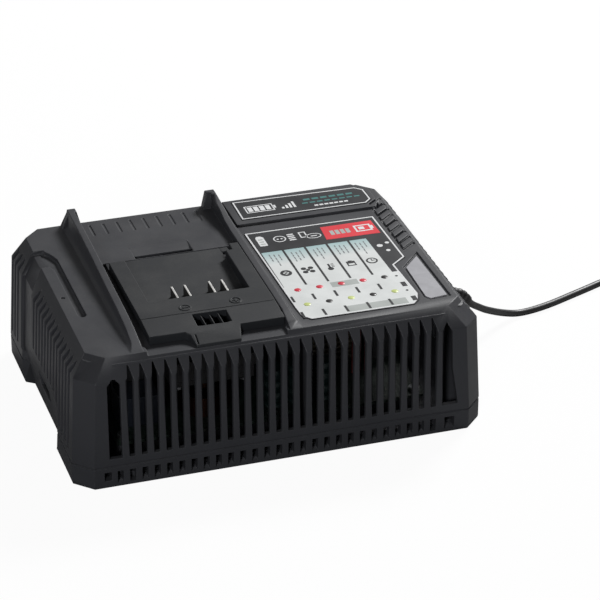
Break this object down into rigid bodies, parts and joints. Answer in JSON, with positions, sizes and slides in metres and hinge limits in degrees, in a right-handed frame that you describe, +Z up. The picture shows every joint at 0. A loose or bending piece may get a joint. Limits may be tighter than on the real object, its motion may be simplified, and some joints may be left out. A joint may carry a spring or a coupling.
{
  "type": "power tool battery charger",
  "caption": "Low box-shaped bench charger for slide-on tool batteries: vented housing, raised battery dock with contact blades, status panel, cooling fan and mains cord.",
  "frame": {"origin": "centre of the housing's outline at the underside of the rubber feet", "axes": "+Z up, -Y is the grille front, +X is the side the mains cord leaves from"},
  "size_m": [0.476, 0.1635, 0.0725],
  "materials": {
    "shell_plastic": "fine texture",
    "base_plastic": "fine texture",
    "foot_rubber": "matte",
    "screw_steel": "plated",
    "dock_plastic": "fine texture",
    "contact_brass": "plain",
    "board_laminate": "solder mask",
    "label_film": "printed film",
    "dark_film": "printed film",
    "window_plastic": "satin",
    "clear_plastic": "clear",
    "led_body": "plain",
    "red_lead": "plain",
    "brown_lead": "plain",
    "ferrite": "ground",
    "coil_tape": "wrapped",
    "capacitor_sleeve": "sleeve",
    "sink_aluminium": "extruded",
    "dark_plastic": "plain",
    "copper_wire": "enamelled",
    "relay_blue": "plain",
    "fuse_glass": "clear",
    "duct_plastic": "plain",
    "cord_rubber": "satin",
    "plug_plastic": "satin",
    "pin_brass": "plated"
  },
  "bodies": {
    "housing": {"top_shell": "shell_plastic", "bottom_shell": "base_plastic", "rubber_feet": "foot_rubber", "housing_screws": "screw_steel", "dock_insert": "dock_plastic", "insert_screws": "screw_steel", "contact_blades": "contact_brass", "terminal_board": "board_laminate", "terminal_screws": "screw_steel", "status_label": "label_film", "rear_label": "dark_film", "indicator_window": "window_plastic", "light_guide": "clear_plastic", "led_board": "board_laminate", "led_chips": "led_body", "panel_screws": "screw_steel", "panel_leads": "red_lead", "circuit_board": "board_laminate", "board_screws": "screw_steel", "transformer_core": "ferrite", "transformer_coil": "coil_tape", "bulk_capacitors": "capacitor_sleeve", "output_capacitors": "capacitor_sleeve", "heat_sinks": "sink_aluminium", "power_transistors": "dark_plastic", "filter_choke": "copper_wire", "relay": "relay_blue", "fuse": "fuse_glass", "fuse_clips": "screw_steel", "output_leads": "red_lead", "fan_leads": "dark_plastic", "fan_frame": "dark_plastic", "fan_bush": "contact_brass", "fan_coils": "copper_wire", "fan_screws": "screw_steel", "air_duct": "duct_plastic", "duct_screws": "screw_steel", "cord_boot": "cord_rubber", "cord_inlet": "cord_rubber", "cord_clamp": "duct_plastic", "clamp_screws": "screw_steel", "inlet_leads": "brown_lead", "cord_tube": "cord_rubber", "cord_coil": "cord_rubber", "cord_tie": "dark_plastic", "plug_boot": "cord_rubber", "plug_body": "plug_plastic", "plug_pins": "pin_brass"},
    "rotor": {"fan_rotor": "dark_plastic"}
  },
  "joints": [
    {"name": "fan_spin", "type": "hinge", "parent": "housing", "child": "rotor", "pos_m": [-0.028, -0.03, 0.0396], "axis": [0, 0, 1], "continuous": true}
  ]
}
